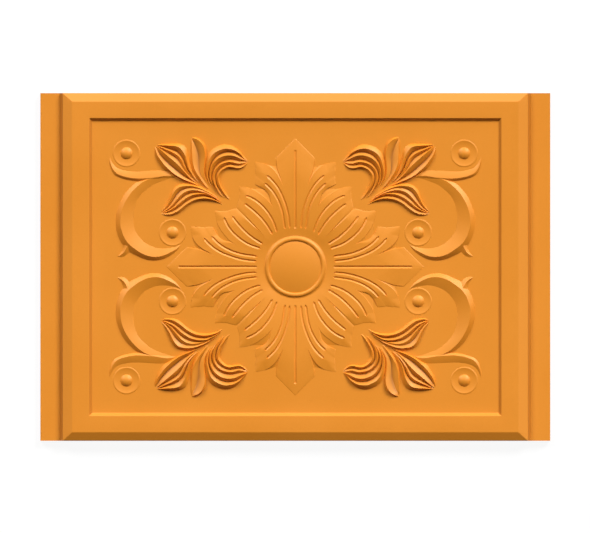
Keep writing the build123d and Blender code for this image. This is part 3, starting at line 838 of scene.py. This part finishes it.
finish = moulded_finish()
corner_discs = [disc_shell(CORNER_DISC), disc_shell(SCROLL_DISC)]
corner_scrolls = [scroll(), tail(), spur()]
corner_leaf = [curled_lobe(), upright_lobe(), outer_lobe(), lower_lobe()]
tile_piece("sheet", [sheet_shell()], finish, crease=12)
tile_piece("rosette", [rosette_shell()], finish, crease=15)
tile_piece("heart", [heart_shell()], finish, crease=40)
tile_piece("discs", four_corners(corner_discs), finish, crease=30)
tile_piece("scrolls", four_corners(corner_scrolls), finish, crease=25)
tile_piece("acanthus_leaves", four_corners(corner_leaf), finish, crease=40)


# The studio, in metres

FLOOR_REACH, FLOOR_LEVEL, FLOOR_TONE = 6.0, -0.0004, (0.8, 0.8, 0.8, 1)
GLOW_STRENGTH, GLOW_SHARE = 1.06, 0.87
# Each key light's strength, and the way to it from the tile
KEY_LIGHTS = {"right_key": (3.46, (1.0, 1.28, 1.0)), "left_key": (2.12, (-1.0, 1.28, 1.0))}
KEY_SPREAD, ROOM_LEVEL = math.radians(24), 0.07
# The picture's width in points, the millimetres that a point shows, and the spot of the tile in its middle
PICTURE_POINTS, POINT_SIZE, PICTURE_MIDDLE = 590, 1.294, (-0.39, 0.6)
LENS, CLIP_END = 1500.0, 50.0


def seen_directly(nodes, links):
    """One where the camera, a gloss or a glass looks, and nought for light that bounces."""
    path = nodes.new("ShaderNodeLightPath")
    first = nodes.new("ShaderNodeMath")
    second = nodes.new("ShaderNodeMath")
    first.operation = second.operation = "MAXIMUM"
    links.new(path.outputs["Is Camera Ray"], first.inputs[0])
    links.new(path.outputs["Is Glossy Ray"], first.inputs[1])
    links.new(first.outputs[0], second.inputs[0])
    links.new(path.outputs["Is Transmission Ray"], second.inputs[1])
    return second.outputs[0]


def studio_floor():
    """A flat pale floor that keeps the tile's shadow: part of its white is its own glow where it is looked
    at."""
    mesh = bpy.data.meshes.new("studio_floor")
    corners = np.array([(-1, -1), (1, -1), (1, 1), (-1, 1)]) * FLOOR_REACH
    mesh.from_pydata([(x, y, FLOOR_LEVEL) for x, y in corners], [], [(0, 1, 2, 3)])
    material = bpy.data.materials.new("pale_floor")
    material.use_nodes = True
    nodes, links = material.node_tree.nodes, material.node_tree.links
    nodes.remove(nodes["Principled BSDF"])
    matte = nodes.new("ShaderNodeBsdfDiffuse")
    matte.inputs["Color"].default_value = FLOOR_TONE
    glow = nodes.new("ShaderNodeEmission")
    glow.inputs["Strength"].default_value = GLOW_STRENGTH
    mix = nodes.new("ShaderNodeMixShader")
    amount = nodes.new("ShaderNodeMath")
    amount.operation = "MULTIPLY"
    amount.inputs[1].default_value = GLOW_SHARE
    links.new(seen_directly(nodes, links), amount.inputs[0])
    links.new(amount.outputs[0], mix.inputs[0])
    links.new(matte.outputs[0], mix.inputs[1])
    links.new(glow.outputs[0], mix.inputs[2])
    links.new(mix.outputs[0], nodes["Material Output"].inputs["Surface"])
    mesh.materials.append(material)
    floor = bpy.data.objects.new("studio_floor", mesh)
    bpy.context.scene.collection.objects.link(floor)


def studio_light():
    """Two soft lights from the top of the picture, the right one stronger, and an even dim room that the
    camera sees as white."""
    for name, (energy, toward) in KEY_LIGHTS.items():
        lamp = bpy.data.lights.new(name, "SUN")
        lamp.energy = energy
        lamp.angle = KEY_SPREAD
        key = bpy.data.objects.new(name, lamp)
        key.rotation_mode = "QUATERNION"
        key.rotation_quaternion = Vector(toward).to_track_quat("Z", "Y")
        bpy.context.scene.collection.objects.link(key)
    world = bpy.data.worlds.new("studio")
    bpy.context.scene.world = world
    world.use_nodes = True
    nodes, links = world.node_tree.nodes, world.node_tree.links
    room = nodes["Background"]
    room.inputs["Strength"].default_value = ROOM_LEVEL
    room.inputs["Color"].default_value = (1, 1, 1, 1)
    white = nodes.new("ShaderNodeBackground")
    white.inputs["Strength"].default_value = 1.0
    mix = nodes.new("ShaderNodeMixShader")
    path = nodes.new("ShaderNodeLightPath")
    links.new(path.outputs["Is Camera Ray"], mix.inputs[0])
    links.new(room.outputs[0], mix.inputs[1])
    links.new(white.outputs[0], mix.inputs[2])
    links.new(mix.outputs[0], nodes["World Output"].inputs["Surface"])


def straight_camera():
    """A long lens straight above the tile, with the tile's +Y at the top of the picture. Its distance makes
    the picture as wide as its points at the level of the frame."""
    data = bpy.data.cameras.new("camera")
    data.lens = LENS
    data.clip_end = CLIP_END
    distance_up = PICTURE_POINTS * POINT_SIZE * METRES * data.lens / data.sensor_width
    camera = bpy.data.objects.new("camera", data)
    camera.location = (*np.multiply(PICTURE_MIDDLE, METRES), distance_up + FRAME_TOP * METRES)
    bpy.context.scene.collection.objects.link(camera)
    bpy.context.scene.camera = camera


studio_floor()
studio_light()
straight_camera()
bpy.context.scene.view_settings.view_transform = "Standard"
